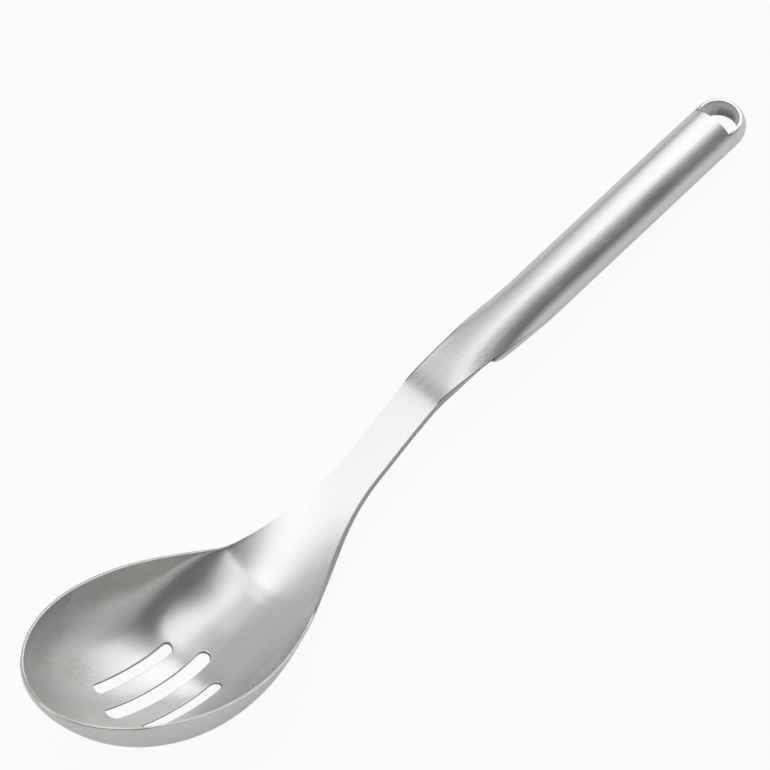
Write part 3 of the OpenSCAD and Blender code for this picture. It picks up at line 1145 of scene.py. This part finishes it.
# %% Floor
floor_half = 4.0
paper_tone = 0.7
glow_seen = 0.92
glow_mirrored = 0.2
floor_data = bpy.data.meshes.new("floor")
floor_data.from_pydata([
    (-floor_half, -floor_half, 0), (floor_half, -floor_half, 0),
    (floor_half, floor_half, 0), (-floor_half, floor_half, 0)], [], [(0, 1, 2, 3)])
floor = bpy.data.objects.new("floor", floor_data)
bpy.context.scene.collection.objects.link(floor)
paper = bpy.data.materials.new("floor paper")
paper.use_nodes = True
nodes = paper.node_tree.nodes
links = paper.node_tree.links
nodes.remove(nodes["Principled BSDF"])
matt = nodes.new("ShaderNodeBsdfDiffuse")
matt.inputs["Color"].default_value = (paper_tone, paper_tone, paper_tone, 1)
glow = nodes.new("ShaderNodeEmission")
glow.inputs["Strength"].default_value = 1.0
rays = put(paper.node_tree, "ShaderNodeLightPath").outputs
mirrored = math_of(paper.node_tree, "ADD", rays["Is Glossy Ray"], rays["Is Transmission Ray"])
mirrored = math_of(paper.node_tree, "MULTIPLY", mirrored, glow_mirrored)
seen = math_of(paper.node_tree, "MULTIPLY", rays["Is Camera Ray"], glow_seen)
share = put(paper.node_tree, "ShaderNodeMath", {0: seen, 1: mirrored}, operation="ADD")
share.use_clamp = True
mixed = nodes.new("ShaderNodeMixShader")
links.new(share.outputs[0], mixed.inputs[0])
links.new(matt.outputs[0], mixed.inputs[1])
links.new(glow.outputs[0], mixed.inputs[2])
links.new(mixed.outputs[0], nodes["Material Output"].inputs["Surface"])
floor_data.materials.append(paper)
print("floor of", 2 * floor_half, "m each way")

# %% World
sky_level = 0.6
world = bpy.data.worlds.new("studio")
bpy.context.scene.world = world
world.use_nodes = True
sky = world.node_tree.nodes["Background"]
sky.inputs["Color"].default_value = (1, 1, 1, 1)
rays = put(world.node_tree, "ShaderNodeLightPath").outputs
seen = math_of(world.node_tree, "ADD", rays["Is Camera Ray"], rays["Is Glossy Ray"])
seen = math_of(world.node_tree, "ADD", seen, rays["Is Transmission Ray"])
world.node_tree.links.new(
    math_of(world.node_tree, "MAXIMUM", seen, sky_level), sky.inputs["Strength"])
print("sky lights the scene at", sky_level, "and looks white")

# %% [markdown]
# Polished steel shows its surroundings, so the lamps decide where each bright band lies. One
# softbox hangs over the bowl, a wide one beyond the end of the handle, and a small one between
# them fills the bowl's floor. All three face straight down, each turned a little about its
# middle. `softbox` takes the brightness of the lamp's face, where 1 is white, and works out the
# power that its size needs.

# %% Softboxes
def softbox(name, place, aim, width, height, radiance, turn_about):
    data = bpy.data.lights.new(name, "AREA")
    data.shape = "RECTANGLE"
    data.size = width
    data.size_y = height
    data.energy = radiance * width * height * math.pi ** 2 / 4
    lamp = bpy.data.objects.new(name, data)
    bpy.context.scene.collection.objects.link(lamp)
    facing = (Vector(place) - Vector(aim)).to_track_quat("Z", "Y").to_matrix()
    lamp.matrix_world = Matrix.Translation(place) @ (
        facing @ Matrix.Rotation(turn_about, 3, "Z")).to_4x4()
    print(name, "is", width, "by", height, "m at", round(data.energy, 2), "W")


for name, x, y, z, width, height, radiance, degrees in (
        ("bowl softbox", -0.40, 0.19, 0.59, 0.75, 0.30, 1.43, -10),
        ("handle softbox", 1.25, 0.32, 0.41, 1.58, 1.48, 1.26, -29),
        ("bowl fill", 0.13, -0.15, 0.60, 0.26, 0.42, 1.35, 20)):
    softbox(name, (x, y, z), (x, y, 0.0), width, height, radiance, math.radians(degrees))

# %% [markdown]
# Grey walls close the studio, so that no part of the spoon mirrors a white void. A dark card
# beside the spoon draws the shadow line along the handle, and two paler cards, one low beyond
# the handle and one on the far side, open up the inside of the bowl. Only glossy rays see them.

# %% Grey walls and the cards
def emitter(name, level):
    cloth = bpy.data.materials.new(name)
    cloth.use_nodes = True
    nodes = cloth.node_tree.nodes
    nodes.remove(nodes["Principled BSDF"])
    dim = nodes.new("ShaderNodeEmission")
    dim.inputs["Color"].default_value = (level, level, level, 1)
    cloth.node_tree.links.new(dim.outputs[0], nodes["Material Output"].inputs["Surface"])
    return cloth


def studio_piece(name, points, faces, level):
    data = bpy.data.meshes.new(name)
    data.from_pydata(points, [], faces)
    data.materials.append(emitter(name, level))
    piece = bpy.data.objects.new(name, data)
    bpy.context.scene.collection.objects.link(piece)
    for ray in ("camera", "diffuse", "transmission", "volume_scatter", "shadow"):
        setattr(piece, "visible_" + ray, False)
    print(name, "glows at", level)


wall_far = 3.0
corners = [(x, y, z) for z in (0.002, wall_far) for x, y in (
    (-wall_far, -wall_far), (wall_far, -wall_far), (wall_far, wall_far), (-wall_far, wall_far))]
studio_piece("studio walls", corners, [
    (0, 1, 5, 4), (1, 2, 6, 5), (2, 3, 7, 6), (3, 0, 4, 7), (4, 5, 6, 7)], 0.46)
studio_piece("dark card", [
    (-1.03, -0.49, 0.17), (0.52, -0.49, 0.17), (1.0, -0.49, 1.34), (-1.03, -0.49, 1.34)],
    [(0, 1, 2, 3)], 0.14)
studio_piece("white card", [
    (1.0, -0.6, 0.003), (1.0, 0.3, 0.003), (1.0, 0.3, 0.45), (1.0, -0.6, 0.45)],
    [(0, 1, 2, 3)], 1.3)
studio_piece("far card", [
    (-1.3, 0.8, 0.003), (0.3, 0.8, 0.003), (0.3, 0.8, 1.2), (-1.3, 0.8, 1.2)],
    [(0, 1, 2, 3)], 0.56)

bpy.context.scene.view_settings.view_transform = "Standard"
